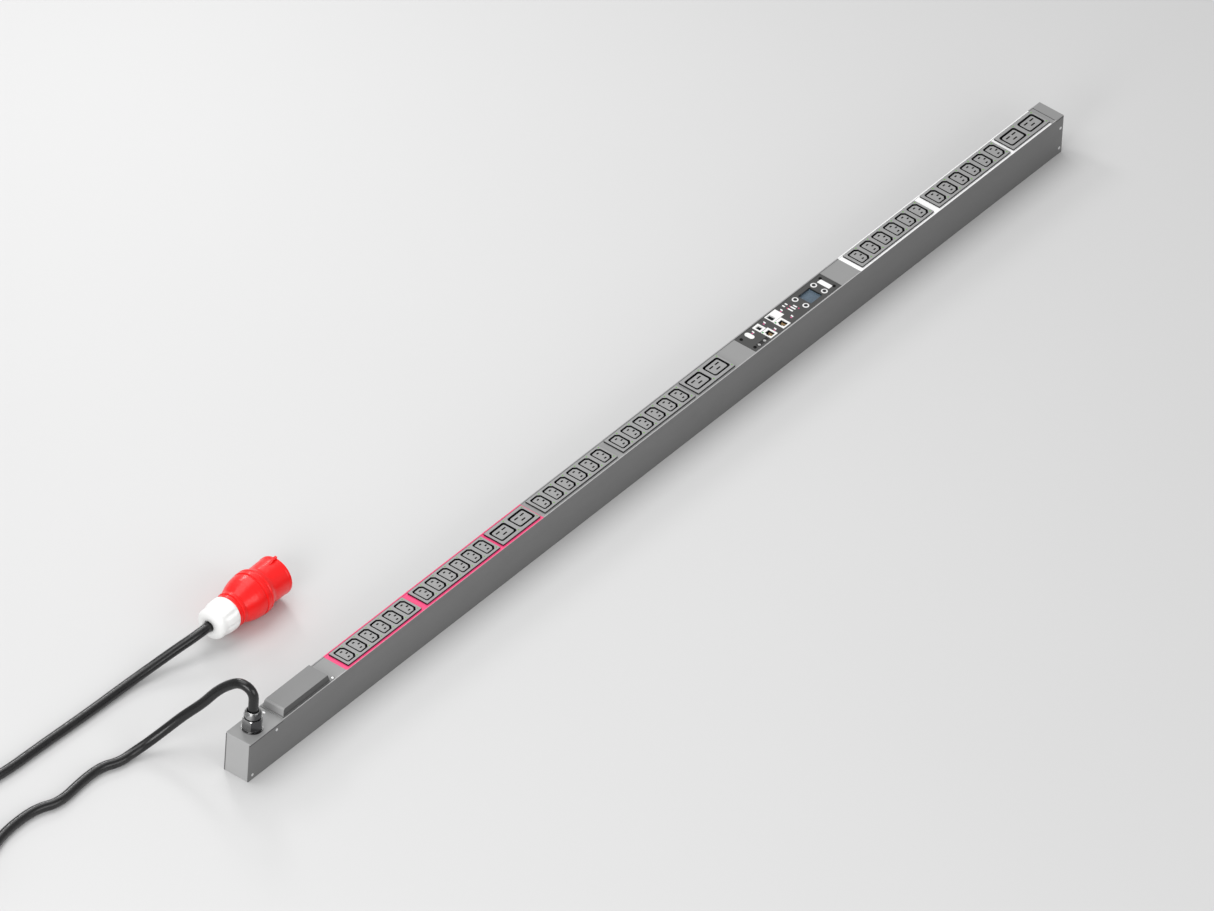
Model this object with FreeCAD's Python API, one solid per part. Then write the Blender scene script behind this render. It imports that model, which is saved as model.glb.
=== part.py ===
"""Zero-U rack power strip, three phases, lying on its back.

Frame: +X runs from the supply end to the far end, +Y towards the supply cable's side, +Z out of the
outlet face. The origin is on the rear face, midway along and across. All sizes are millimetres.
"""
import FreeCAD
import Part
import math
import os

V = FreeCAD.Vector
UP = V(0, 0, 1)

# ---------------------------------------------------------------- housing
LENGTH = 1880.0
WIDTH = 44.0
DEPTH = 70.0
WALL = 1.6
BASE = 2.0
LEDGE_Z = (66.0, 67.8)          # extruded shelf that carries the deck pieces
LEDGE_IN = 1.8
DECK_TOP = 69.4
DECK_HALF = 20.1                # leaves a fine dark seam beside each wall
LABEL_TOP = 69.6
INNER_HALF = WIDTH / 2 - WALL

# ---------------------------------------------------------------- end caps
NEAR_CAP_LENGTH = 75.0
FAR_CAP_LENGTH = 18.0
CAP_SHEET = 1.8
CAP_TOP = 69.5
CAP_HALF = 21.9                 # the top plates lie over the side walls
CAP_SEAM = 0.4                  # gap between a top plate and the wall below it
CAP_BEND_R = 1.4
SIDE_HOLE_R = 1.6
NEAR_SIDE_SCREWS = [(8.9, 9.0), (60.6, 60.0)]       # distance from the near end, height
FAR_SIDE_SCREWS = [(1874.0, 11.0), (1874.0, 48.0)]
SIDE_SCREW_R = 2.4
SIDE_SCREW_PROUD = 0.5

# ---------------------------------------------------------------- rear fixings
REAR_SPACING = 1556.0
REAR_THREAD_R = 2.1             # tapping radius of an M5 thread
REAR_INSERT_R = 4.5
REAR_INSERT_LENGTH = 9.0

# ---------------------------------------------------------------- terminal cover
COVER_START, COVER_END = 76.0, 185.0
COVER_FLANGE_HALF = 19.9
COVER_FLANGE_T = 1.5
COVER_TOP = 84.0
COVER_WALL = 1.5
COVER_SCREW = (191.8, -17.7)    # distance from the near end, Y
CAP_SCREW = (68.3, 7.9)
SCREW_HOLE_R = 1.4

# ---------------------------------------------------------------- outlet banks
BANK_STARTS = (220.0, 670.0, 1405.0)
BANK_LENGTH = 450.0
C13_FIRST = (22.3, 202.3)       # first outlet of each six, from the bank's start
C13_PITCH = 27.5
C13_COUNT = 6
C13_BLOCK = 167.0
C19_FIRST = 383.0
C19_PITCH = 42.0
C19_COUNT = 2
C19_BLOCK = 85.0
BLOCK_HALF = 18.0
BLOCK_TOP = 72.8
BLOCK_BOTTOM = 52.0
SOCKET_BASE_Z = (49.8, 52.0)
INSERT_TOP = 72.5
C13_RECESS = (21.0, 29.0)       # groove outline, along X and along Y
C13_INSERT = (15.6, 23.6)
C13_SLOTS = ((0.0, 7.0), (0.0, -7.0), (4.0, 0.0))   # line, neutral, earth
C13_SLOT = (4.4, 2.4)
C19_RECESS = (35.0, 26.4)
C19_INSERT = (28.6, 20.0)
C19_SLOTS = ((-6.5, 4.0), (6.5, 4.0), (0.0, -4.0))
C19_SLOT = (8.4, 2.4)
CONTACT_ROOM_Z = (52.0, 70.8)
BAR_Y = (-13.0, -6.5, 0.0, 6.5, 13.0)
BAR_START = 190.0
BAR_ENDS = (665.0, 1115.0, 1855.0, 1855.0, 1855.0)
LIGHT_R = 1.1
C13_LIGHT = (10.5, 14.0)
C19_LIGHT = (18.5, 14.0)

# ---------------------------------------------------------------- controller
CONTROL = (1162.0, 1362.0)
PLATE_Z = (67.8, 69.6)
BOARD_TOP = 49.6
CONTROL_SCREWS = ((1169.3, 12.6), (1169.3, -12.6), (1353.0, 12.6), (1353.0, -12.6))
BUTTONS = ((1291.6, 10.2), (1291.6, -9.4), (1334.8, 10.2), (1334.8, -9.4))
BUTTON_R = 2.7
BUTTON_RING_R = 5.0
DISPLAY = (1300.0, 1327.0, -12.2, 12.0)
LEDS = ((1269.0, 6.8), (1275.0, 6.8), (1280.0, -5.6))
JACKS = ((1200.0, 1216.0, -17.6, 1.0), (1229.4, 1246.4, -17.6, 1.0))
JACK_OPENING = (9.4, 12.2)
PORT_B = (1200.0, 1213.4, 2.0, 17.0)
PORT_B_OPENING = (7.8, 8.6)
PORT_A = (1230.0, 1255.0, 1.6, 18.5)
PORT_A_OPENING = (1231.8, 1240.4, 5.4, 16.6)
PORT_OVAL = (1184.0, 9.0, 4.4, 16.0)                 # centre X, centre Y, half width, length
TERMINAL_SLOT = (1174.0, 1198.0, -16.2, -10.2)
TERMINAL_SCREWS = (1178.6, 1191.0)

# ---------------------------------------------------------------- cable gland
GLAND_X = 31.5
GLAND_AF = 27.4
GLAND_SHANK_R = 12.5
GLAND_BORE_R = 9.4
SEAL_TOP = 98.0

# ---------------------------------------------------------------- supply cable
CABLE_D = 15.0
# from the gland, over and down to the floor, then along it to the coil
ROUTE_OUT = [(-908.5, 0, 98), (-908.5, 0, 113), (-908.5, 0, 129.5), (-909.3, 9, 139.5), (-911.5, 25, 141.5),
             (-915, 42, 129), (-920.5, 57.5, 112.5), (-929, 74, 86), (-943, 96, 60), (-962, 113, 36),
             (-984, 127, 17), (-1006, 135, 8.6), (-1033, 137, 7.6), (-1059, 150, 7.6), (-1101, 151, 7.6),
             (-1159, 145, 7.6), (-1192, 162, 7.6), (-1246, 164, 7.6), (-1290, 157, 7.6),
             (-1326, 144.5, 7.6)]
# from the coil, along the floor and up into the plug
ROUTE_BACK = [(-1334, 288, 22.5), (-1292, 276, 15.5), (-1240, 261, 7.8), (-1172, 245.5, 7.6),
              (-1075, 242.5, 7.6), (-985, 238, 7.6), (-905, 236, 8), (-850, 230, 13.5),
              (-805, 219, 26), (-767.7, 209.3, 35.3), (-733.1, 209.3, 35.3)]
COIL_CENTRE = (-1387.0, 213.0)
COIL_R = (53.0, 95.5)
COIL_HEIGHT = 30.4

# ---------------------------------------------------------------- plug
PLUG_REAR = V(-743.8, 209.3, 35.3)
PLUG_AXIS = V(1, 0, 0)
# distances from the plug's rear, along its axis
NUT_END = 42.0
SEAT = 11.0                     # back wall of the rear body, where the cable ends
COLLAR_START = 94.0
INSERT_END = 115.0
PIN_END = 147.0
PLUG_END = 152.5
NUT_HOLE_R = 8.2
NUT_FLUTES = 9
KEY_SPAN = (136.0, 145.0, 151.2)        # where the polarising key starts, is full height and ends
KEY_R = 35.6
KEY_WIDTH = 3.6
PIN_CIRCLE_R = 18.0
PIN_R = 2.5
EARTH_PIN_R = 3.5


def at(distance):
    """X of a point given by its distance from the near end."""
    return distance - LENGTH / 2


def box(x0, x1, y0, y1, z0, z1):
    return Part.makeBox(x1 - x0, y1 - y0, z1 - z0, V(x0, y0, z0))


def rod(x, y, z0, z1, r):
    return Part.makeCylinder(r, z1 - z0, V(x, y, z0))


def prism(points, z0, z1):
    wire = Part.makePolygon([V(x, y, z0) for x, y in points] + [V(points[0][0], points[0][1], z0)])
    return Part.Face(wire).extrude(V(0, 0, z1 - z0))


def rounded(cx, cy, lx, ly, r, z0, z1):
    """Upright block with rounded corners."""
    solid = box(cx - lx / 2, cx + lx / 2, cy - ly / 2, cy + ly / 2, z0, z1)
    upright = [e for e in solid.Edges if abs(e.Vertexes[0].Z - e.Vertexes[-1].Z) > 0.1]
    return solid.makeFillet(r, upright)


def hexagon(x, y, across_flats, z0, z1):
    """Upright hexagon with a flat towards each end of the strip."""
    r = across_flats / math.sqrt(3)
    turns = [math.radians(60 * k + 30) for k in range(6)]
    corners = [(x + r * math.cos(turn), y + r * math.sin(turn)) for turn in turns]
    return prism(corners, z0, z1)


def chamfered_top(solid, size):
    """Break the outer edges of the solid's top face."""
    top = max(solid.Faces, key=lambda f: (f.CenterOfMass.z, f.Area))
    outer = top.OuterWire.Edges
    edges = [e for e in solid.Edges if any(e.isSame(o) for o in outer)]
    return solid.makeChamfer(size, edges)


def spin(profile, base, axis):
    """Solid of revolution; the profile is (distance along the axis, radius) points."""
    wire = Part.makePolygon([V(r, 0, u) for u, r in profile] + [V(profile[0][1], 0, profile[0][0])])
    solid = Part.Face(wire).revolve(V(0, 0, 0), UP, 360)
    solid.Placement = FreeCAD.Placement(base, FreeCAD.Rotation(UP, axis))
    return solid


def save(node, shapes):
    """Write one node, either one solid or a group of separate solids."""
    shapes = shapes if isinstance(shapes, list) else [shapes]
    solids = [s for shape in shapes for s in shape.Solids]
    shape = solids[0] if len(solids) == 1 else Part.makeCompound(solids)
    shape.exportStep("parts/%s.step" % node)


# ================================================================ housing and caps

def cross_hole(distance, z):
    """Hole through both side walls for a pair of side screws."""
    return Part.makeCylinder(SIDE_HOLE_R, WIDTH + 2, V(at(distance), -WIDTH / 2 - 1, z), V(0, 1, 0))


def housing_profile():
    x0, x1 = -LENGTH / 2, LENGTH / 2
    half = WIDTH / 2
    shell = box(x0, x1, -half, half, 0, DEPTH)
    long_edges = [e for e in shell.Edges
                  if abs(e.Vertexes[0].X - e.Vertexes[-1].X) > 1 and e.Vertexes[0].Z < 1]
    shell = shell.makeFillet(1.0, long_edges)
    shell = shell.cut(box(x0 - 1, x1 + 1, -INNER_HALF, INNER_HALF, BASE, DEPTH + 1))
    for side in (-1, 1):
        y0, y1 = sorted((side * INNER_HALF, side * (INNER_HALF - LEDGE_IN)))
        ledge = box(x0 + NEAR_CAP_LENGTH + 2, x1 - FAR_CAP_LENGTH - 1, y0, y1, *LEDGE_Z)
        shell = shell.fuse(ledge)
    for end in (x0, x1 - CAP_SHEET):
        shell = shell.cut(box(end - 0.001, end + CAP_SHEET + 0.001, -INNER_HALF, INNER_HALF, -1, BASE + 1))
    wall_top = CAP_TOP - CAP_SHEET - CAP_SEAM
    for start, end in ((x0 - 1, x0 + NEAR_CAP_LENGTH), (x1 - FAR_CAP_LENGTH, x1 + 1)):
        shell = shell.cut(box(start, end, -WIDTH, WIDTH, wall_top, DEPTH + 1))
    for x in (-REAR_SPACING / 2, REAR_SPACING / 2):
        shell = shell.cut(rod(x, 0, -1, BASE + 1, REAR_INSERT_R))
    for distance, z in NEAR_SIDE_SCREWS + FAR_SIDE_SCREWS:
        shell = shell.cut(cross_hole(distance, z))
    return shell.removeSplitter()


def folded_cap(distance_0, distance_1, end_distance):
    """End plate and top plate bent from one sheet, with side tabs that take the screws."""
    x0, x1 = at(distance_0), at(distance_1)
    end_x = at(end_distance)

    def block(half, bottom):
        """Block down from the cap's top, with the bend's round edge at the end."""
        solid = box(x0, x1, -half, half, bottom, CAP_TOP)
        bend = [e for e in solid.Edges
                if all(abs(v.X - end_x) < 0.01 and v.Z > CAP_TOP - 0.01 for v in e.Vertexes)]
        return solid.makeFillet(CAP_BEND_R, bend)

    solid = block(DECK_HALF, 0).fuse(block(CAP_HALF, CAP_TOP - CAP_SHEET))
    inner_x0, inner_x1 = (x0 + CAP_SHEET, x1 + 1) if end_x == x0 else (x0 - 1, x1 - CAP_SHEET)
    inside = box(inner_x0, inner_x1, -DECK_HALF + CAP_SHEET, DECK_HALF - CAP_SHEET, -1, CAP_TOP - CAP_SHEET)
    below = box(inner_x0, inner_x1, -DECK_HALF - 1, DECK_HALF + 1, -1, BASE + 0.4)
    return solid.cut(inside).cut(below).removeSplitter()


def near_end_cap():
    cap = folded_cap(0, NEAR_CAP_LENGTH, 0)
    flap = box(at(16), at(NEAR_CAP_LENGTH) + 1, -WIDTH, WIDTH, -1, 50)
    cap = cap.cut(flap)
    cap = cap.cut(rod(at(GLAND_X), 0, 60, DEPTH + 1, GLAND_SHANK_R + 0.1))
    cap = cap.cut(rod(at(CAP_SCREW[0]), CAP_SCREW[1], 60, DEPTH + 1, SCREW_HOLE_R))
    for distance, z in NEAR_SIDE_SCREWS:
        cap = cap.cut(cross_hole(distance, z))
    return cap


def far_end_cap():
    cap = folded_cap(LENGTH - FAR_CAP_LENGTH, LENGTH, LENGTH)
    for distance, z in FAR_SIDE_SCREWS:
        cap = cap.cut(cross_hole(distance, z))
    return cap


def side_screw(x, z, side):
    """Low round-head screw with a cross recess, driven through one side wall."""
    half = WIDTH / 2
    head = Part.makeCylinder(SIDE_SCREW_R, SIDE_SCREW_PROUD, V(x, half, z), V(0, 1, 0))
    rim = [e for e in head.Edges if e.CenterOfMass.y > half + SIDE_SCREW_PROUD - 0.01 and e.Length > 6]
    head = head.makeFillet(0.35, rim)
    shank = Part.makeCylinder(1.5, 5.0, V(x, half - 5.0, z), V(0, 1, 0))
    screw = head.fuse(shank)
    for dx, dz in ((1.5, 0.3), (0.3, 1.5)):
        screw = screw.cut(box(x - dx, x + dx, half + 0.1, half + 1, z - dz, z + dz))
    if side < 0:
        screw = screw.mirror(V(0, 0, 0), V(0, 1, 0))
    return screw


def end_cap_screws():
    places = NEAR_SIDE_SCREWS + FAR_SIDE_SCREWS
    return [side_screw(at(d), z, side) for d, z in places for side in (-1, 1)]


def rear_inserts():
    inserts = []
    for x in (-REAR_SPACING / 2, REAR_SPACING / 2):
        body = rod(x, 0, 0, REAR_INSERT_LENGTH, REAR_INSERT_R)
        body = body.fuse(rod(x, 0, BASE, BASE + 1.2, REAR_INSERT_R + 2))
        inserts.append(body.cut(rod(x, 0, -1, REAR_INSERT_LENGTH + 1, REAR_THREAD_R)))
    return inserts


# ================================================================ deck

def block_spans():
    """Start and end distances of every outlet block, near end to far end."""
    spans = []
    for start in BANK_STARTS:
        for first in C13_FIRST:
            centre = start + first + C13_PITCH * (C13_COUNT - 1) / 2
            spans.append((centre - C13_BLOCK / 2, centre + C13_BLOCK / 2))
        centre = start + C19_FIRST + C19_PITCH * (C19_COUNT - 1) / 2
        spans.append((centre - C19_BLOCK / 2, centre + C19_BLOCK / 2))
    return spans


def deck_rails():
    """Narrow strips on both sides of every outlet block."""
    rails = []
    for start, end in block_spans():
        for side in (-1, 1):
            y0, y1 = sorted((side * BLOCK_HALF, side * DECK_HALF))
            rails.append(box(at(start), at(end), y0, y1, LEDGE_Z[1], DECK_TOP))
    return rails


def spacer_plates():
    """Full-width deck plates before, between and after the outlet blocks and the controller."""
    taken = sorted(block_spans() + [CONTROL])
    plates = []
    edge = NEAR_CAP_LENGTH + 0.3
    for start, end in taken + [(LENGTH - FAR_CAP_LENGTH - 0.3, 0)]:
        if start - edge > 0.5:
            plates.append(box(at(edge), at(start), -DECK_HALF, DECK_HALF, LEDGE_Z[1], DECK_TOP))
        edge = end
    plates[0] = plates[0].cut(rod(at(COVER_SCREW[0]), COVER_SCREW[1], 60, DECK_TOP + 1, SCREW_HOLE_R))
    return plates


def phase_label(index):
    """Printed film around one bank's three outlet blocks."""
    start = BANK_STARTS[index]
    film = box(at(start), at(start + BANK_LENGTH), -DECK_HALF, DECK_HALF, DECK_TOP, LABEL_TOP)
    for span_0, span_1 in block_spans()[3 * index:3 * index + 3]:
        film = film.cut(box(at(span_0), at(span_1), -BLOCK_HALF, BLOCK_HALF, DECK_TOP - 1, LABEL_TOP + 1))
    return film


# ================================================================ terminal cover

def terminal_cover():
    x0, x1 = at(COVER_START), at(COVER_END)
    flange_top = DECK_TOP + COVER_FLANGE_T

    def raised(inset, top):
        """Body with an upright near face, a sloping far face and a left side that leans in."""
        base = [V(x0 + 3 + inset, -18.9 + inset, flange_top - COVER_FLANGE_T),
                V(x1 - inset, -18.9 + inset, flange_top - COVER_FLANGE_T),
                V(x1 - inset, 19.3 - inset, flange_top - COVER_FLANGE_T),
                V(x0 + 3 + inset, 19.3 - inset, flange_top - COVER_FLANGE_T)]
        upper = [V(x0 + 3 + inset, -18.5 + inset, top), V(x1 - 6 - inset, -18.5 + inset, top),
                 V(x1 - 6 - inset, 15.6 - inset, top), V(x0 + 3 + inset, 15.6 - inset, top)]
        wires = [Part.makePolygon(ring + [ring[0]]) for ring in (base, upper)]
        return Part.makeLoft(wires, True, True)

    outer = raised(0, COVER_TOP)
    rim = [e for e in outer.Edges if e.Vertexes[0].Z > COVER_TOP - 0.1 and e.Vertexes[-1].Z > COVER_TOP - 0.1]
    near_rim = [e for e in rim if abs(e.CenterOfMass.x - (x0 + 3)) < 0.1]
    outer = outer.makeChamfer(2.4, near_rim)
    flange = box(x0, x1 + 1.0, -COVER_FLANGE_HALF, COVER_FLANGE_HALF, DECK_TOP, flange_top)
    ear = rounded(at(190.0), -17.0, 12.0, 6.0, 1.5, DECK_TOP, DECK_TOP + 1.0)
    cover = outer.fuse(flange).fuse(ear)
    hollow = raised(COVER_WALL, COVER_TOP - COVER_WALL)
    cover = cover.cut(hollow)
    cover = cover.cut(rod(at(COVER_SCREW[0]), COVER_SCREW[1], DECK_TOP - 1, DECK_TOP + 3, 1.5))
    return cover.removeSplitter()


def pan_screw(x, y, z, head_r, proud, length, recess):
    """Cross-head screw with its head resting at height z."""
    head = rod(x, y, z, z + proud, head_r)
    rim = [e for e in head.Edges if e.CenterOfMass.z > z + proud - 0.01 and e.Length > head_r * 4]
    head = head.makeFillet(proud * 0.6, rim)
    screw = head.fuse(rod(x, y, z - length, z, head_r * 0.55))
    for dx, dy in ((head_r * 0.62, 0.3), (0.3, head_r * 0.62)):
        screw = screw.cut(box(x - dx, x + dx, y - dy, y + dy, z + proud - recess, z + proud + 1))
    return screw


def cover_screws():
    """One beside the cover's far edge, one on the near cap; they hold the cover and the cap."""
    return [pan_screw(at(COVER_SCREW[0]), COVER_SCREW[1], DECK_TOP + 1.0, 2.3, 1.1, 2.5, 0.6),
            pan_screw(at(CAP_SCREW[0]), CAP_SCREW[1], CAP_TOP, 2.3, 1.1, 1.7, 0.6)]


# ================================================================ outlets

def c13_outline(size, corner, soft):
    """Corners of a C13 outline: the two +X corners are cut off, the others are eased."""
    hx, hy = size[0] / 2, size[1] / 2
    return [(-hx + soft, -hy), (hx - corner, -hy), (hx, -hy + corner), (hx, hy - corner),
            (hx - corner, hy), (-hx + soft, hy), (-hx, hy - soft), (-hx, -hy + soft)]


def c13_centres(bank, block):
    first = BANK_STARTS[bank] + C13_FIRST[block]
    return [at(first + C13_PITCH * k) for k in range(C13_COUNT)]


def c19_centres(bank):
    return [at(BANK_STARTS[bank] + C19_FIRST + C19_PITCH * k) for k in range(C19_COUNT)]


def moved(points, x):
    return [(px + x, py) for px, py in points]


def c13_recess(x, z0, z1):
    return prism(moved(c13_outline(C13_RECESS, 4.6, 2.0), x), z0, z1)


def c19_recess(x, z0, z1):
    return rounded(x, 0, C19_RECESS[0], C19_RECESS[1], 4.0, z0, z1)


def outlet_block(span, centres, recess, light):
    """Moulded frame around a row of outlets, open through each groove."""
    block = box(at(span[0]), at(span[1]), -BLOCK_HALF, BLOCK_HALF, BLOCK_BOTTOM, BLOCK_TOP)
    block = chamfered_top(block, 0.5)
    for x in centres:
        block = block.cut(recess(x, BLOCK_BOTTOM - 1, BLOCK_TOP + 1))
        for side in (-1, 1):
            block = block.cut(rod(x + light[0], side * light[1], BLOCK_BOTTOM - 1, BLOCK_TOP + 1, LIGHT_R))
    return block


def socket_insert(x, outer, slots, slot):
    """Insulating centre of one outlet, with a slot and a contact chamber for each pin."""
    body = outer
    for sx, sy in slots:
        lx, ly = slot[0] / 2, slot[1] / 2
        body = body.cut(box(x + sx - lx, x + sx + lx, sy - ly, sy + ly, CONTACT_ROOM_Z[1] - 1, INSERT_TOP + 1))
        lx, ly = lx + 0.6, 1.9
        body = body.cut(box(x + sx - lx, x + sx + lx, sy - ly, sy + ly, CONTACT_ROOM_Z[0] - 1, CONTACT_ROOM_Z[1]))
    return body


def c13_insert(x):
    outer = prism(moved(c13_outline(C13_INSERT, 3.8, 1.2), x), BLOCK_BOTTOM, INSERT_TOP)
    return socket_insert(x, chamfered_top(outer, 0.4), C13_SLOTS, C13_SLOT)


def c19_insert(x):
    outer = rounded(x, 0, C19_INSERT[0], C19_INSERT[1], 3.0, BLOCK_BOTTOM, INSERT_TOP)
    return socket_insert(x, chamfered_top(outer, 0.4), C19_SLOTS, C19_SLOT)


def socket_inserts(bank):
    inserts = [c13_insert(x) for block in range(2) for x in c13_centres(bank, block)]
    return inserts + [c19_insert(x) for x in c19_centres(bank)]


def socket_bases():
    """Floor plates of the grooves, one under each outlet block."""
    return [box(at(a), at(b), -BLOCK_HALF, BLOCK_HALF, *SOCKET_BASE_Z) for a, b in block_spans()]


def contact(x, y, length):
    """Two spring leaves joined at the foot, which grip one pin."""
    z0, z1 = CONTACT_ROOM_Z[0], CONTACT_ROOM_Z[1] - 0.4
    outer = box(x - length / 2, x + length / 2, y - 1.6, y + 1.6, z0, z1)
    return outer.cut(box(x - length, x + length, y - 1.05, y + 1.05, z0 + 1.0, z1 + 1))


def contacts(pole):
    """All contacts of one pole: 0 line, 1 neutral, 2 earth."""
    parts = []
    for bank in range(3):
        for block in range(2):
            sx, sy = C13_SLOTS[pole]
            parts += [contact(x + sx, sy, C13_SLOT[0] + 0.6) for x in c13_centres(bank, block)]
        sx, sy = C19_SLOTS[pole]
        parts += [contact(x + sx, sy, C19_SLOT[0] + 0.6) for x in c19_centres(bank)]
    return parts


def outlet_lights():
    """Light rods, two beside each outlet, from the board to just above the block's face."""
    rods = []
    for bank in range(3):
        for block in range(2):
            rods += [(x + C13_LIGHT[0], s * C13_LIGHT[1]) for x in c13_centres(bank, block) for s in (-1, 1)]
        rods += [(x + C19_LIGHT[0], s * C19_LIGHT[1]) for x in c19_centres(bank) for s in (-1, 1)]
    return [rod(x, y, BLOCK_BOTTOM, BLOCK_TOP + 0.15, LIGHT_R - 0.03) for x, y in rods]


def outlet_boards():
    """Circuit board under each bank, with one current sensor below each outlet."""
    boards = []
    for bank, start in enumerate(BANK_STARTS):
        board = box(at(start + 8), at(start + BANK_LENGTH - 6), -17, 17, 46.0, 47.6)
        centres = [x for block in range(2) for x in c13_centres(bank, block)] + c19_centres(bank)
        for x in centres:
            board = board.fuse(box(x - 7, x + 7, -6, 6, 39.0, 46.0))
        boards.append(board)
    return boards


def busbars():
    """Flat copper bars on edge: three phases, each as long as its bank needs, neutral and earth."""
    return [box(at(BAR_START), at(end), y - 1, y + 1, 12, 24) for y, end in zip(BAR_Y, BAR_ENDS)]


def busbar_holders():
    """Combs that hold the bars clear of each other and of the housing."""
    holders = []
    for distance in (230, 470, 690, 930, 1140, 1420, 1640, 1845):
        comb = box(at(distance), at(distance + 8), -19, 19, BASE, 20)
        for y in BAR_Y:
            comb = comb.cut(box(at(distance) - 1, at(distance + 9), y - 1, y + 1, 12, 21))
        holders.append(comb)
    return holders


# ================================================================ controller

def controller_plate():
    x0, x1 = at(CONTROL[0]) + 0.3, at(CONTROL[1]) - 0.3
    z0, z1 = PLATE_Z
    plate = box(x0, x1, -DECK_HALF, DECK_HALF, z0, z1)
    plate = chamfered_top(plate, 0.3)
    windows = [box(at(a), at(b), y0, y1, z0 - 1, z1 + 1)
               for a, b, y0, y1 in JACKS + (PORT_B, PORT_A, TERMINAL_SLOT, DISPLAY)]
    windows += [rod(at(x), y, z0 - 1, z1 + 1, BUTTON_RING_R) for x, y in BUTTONS]
    windows += [rod(at(x), y, z0 - 1, z1 + 1, 1.3) for x, y in LEDS]
    windows += [rod(at(x), y, z0 - 1, z1 + 1, 1.8) for x, y in CONTROL_SCREWS]
    windows.append(oval(PORT_OVAL, 0, z0 - 1, z1 + 1))
    for window in windows:
        plate = plate.cut(window)
    return plate


def oval(spec, inset, z0, z1):
    """Upright block with half-round ends along Y."""
    cx, cy, half, length = spec
    half, length = half - inset, length - 2 * inset
    straight = length / 2 - half
    solid = box(at(cx) - half, at(cx) + half, cy - straight, cy + straight, z0, z1)
    for side in (-1, 1):
        solid = solid.fuse(rod(at(cx), cy + side * straight, z0, z1, half))
    return solid.removeSplitter()


def controller_tray():
    """Open-topped plastic tray that carries the board below the plate."""
    x0, x1 = at(CONTROL[0]) + 1, at(CONTROL[1]) - 1
    tray = box(x0, x1, -20.2, 20.2, 42.0, 65.8)
    return tray.cut(box(x0 + 1.2, x1 - 1.2, -19.2, 19.2, 43.2, 68))


def controller_board():
    """Circuit board with the buttons' switches and the processor."""
    board = box(at(CONTROL[0]) + 4, at(CONTROL[1]) - 4, -16.8, 16.8, BOARD_TOP - 1.6, BOARD_TOP)
    for x, y in BUTTONS:
        board = board.fuse(box(at(x) - 3, at(x) + 3, y - 3, y + 3, BOARD_TOP, 61.4))
    return board.fuse(box(at(1258), at(1284), -12, 14, BOARD_TOP, 52.0))


def controller_screws():
    return [pan_screw(at(x), y, PLATE_Z[1], 2.6, 0.9, 9.0, 0.6) for x, y in CONTROL_SCREWS]


def display_window():
    a, b, y0, y1 = DISPLAY
    return box(at(a), at(b), y0, y1, 65.6, 66.6)


def display_module():
    a, b, y0, y1 = DISPLAY
    return box(at(a) - 1, at(b) + 1, y0 - 1, y1 + 1, 61.0, 65.6)


def menu_button(x, y):
    """Push button: cap, hidden retaining flange and stem."""
    cap = rod(at(x), y, 66.6, 70.7, BUTTON_R)
    rim = [e for e in cap.Edges if e.CenterOfMass.z > 70.6 and e.Length > 10]
    cap = cap.makeFillet(0.7, rim)
    flange = rod(at(x), y, 65.6, 66.9, 4.2)
    return cap.fuse(flange).fuse(rod(at(x), y, 62.5, 65.7, 1.5))


def button_rings():
    rings = []
    for x, y in BUTTONS:
        ring = rod(at(x), y, PLATE_Z[0], PLATE_Z[1] + 0.5, BUTTON_RING_R)
        rim = [e for e in ring.Edges if e.CenterOfMass.z > PLATE_Z[1] + 0.4 and e.Length > 10]
        ring = ring.makeFillet(0.4, rim)
        rings.append(ring.cut(rod(at(x), y, 60, 80, BUTTON_R + 0.3)))
    return rings


def socket_shell(outline, opening, top, depth):
    """Connector body on the board, with an opening in its top; both given as x0, x1, y0, y1."""
    a, b, y0, y1 = outline
    body = box(at(a), at(b), y0, y1, BOARD_TOP, top)
    a, b, y0, y1 = opening
    return body.cut(box(at(a), at(b), y0, y1, top - depth, top + 1))


def centred(outline, size, dx=0.0, dy=0.0):
    cx, cy = (outline[0] + outline[1]) / 2 + dx, (outline[2] + outline[3]) / 2 + dy
    return cx - size[0] / 2, cx + size[0] / 2, cy - size[1] / 2, cy + size[1] / 2


def network_jacks():
    """Two eight-way jacks, each with a latch notch beside its opening."""
    jacks = []
    for outline in JACKS:
        opening = centred(outline, JACK_OPENING, 0.4, -0.8)
        jack = socket_shell(outline, opening, PLATE_Z[1] + 0.3, 14.0)
        middle = (opening[2] + opening[3]) / 2
        notch = box(at(opening[0]) - 1.4, at(opening[0]) + 0.1, middle - 3, middle + 3,
                    PLATE_Z[1] - 8, PLATE_Z[1] + 1)
        jacks.append(jack.cut(notch))
    return jacks


def service_ports():
    """Square port, wide port and oval port."""
    top = PLATE_Z[1] + 0.3
    square = socket_shell(PORT_B, centred(PORT_B, PORT_B_OPENING), top, 12.0)
    wide = socket_shell(PORT_A, PORT_A_OPENING, top, 12.0)
    ovoid = oval(PORT_OVAL, 0, BOARD_TOP, top).cut(oval(PORT_OVAL, 1.4, top - 1.2, top + 1))
    return [square, wide, ovoid]


def relay_terminal():
    a, b, y0, y1 = TERMINAL_SLOT
    block = box(at(a), at(b), y0, y1, BOARD_TOP, PLATE_Z[1] - 0.6)
    for x in TERMINAL_SCREWS:
        block = block.cut(rod(at(x), (y0 + y1) / 2, PLATE_Z[1] - 3.6, PLATE_Z[1] + 1, 2.5))
    return block


def relay_screws():
    y = (TERMINAL_SLOT[2] + TERMINAL_SLOT[3]) / 2
    screws = []
    for x in TERMINAL_SCREWS:
        screw = rod(at(x), y, PLATE_Z[1] - 3.6, PLATE_Z[1] - 0.5, 2.3)
        screws.append(screw.cut(box(at(x) - 3, at(x) + 3, y - 0.35, y + 0.35, PLATE_Z[1] - 1.2, PLATE_Z[1])))
    return screws


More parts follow.
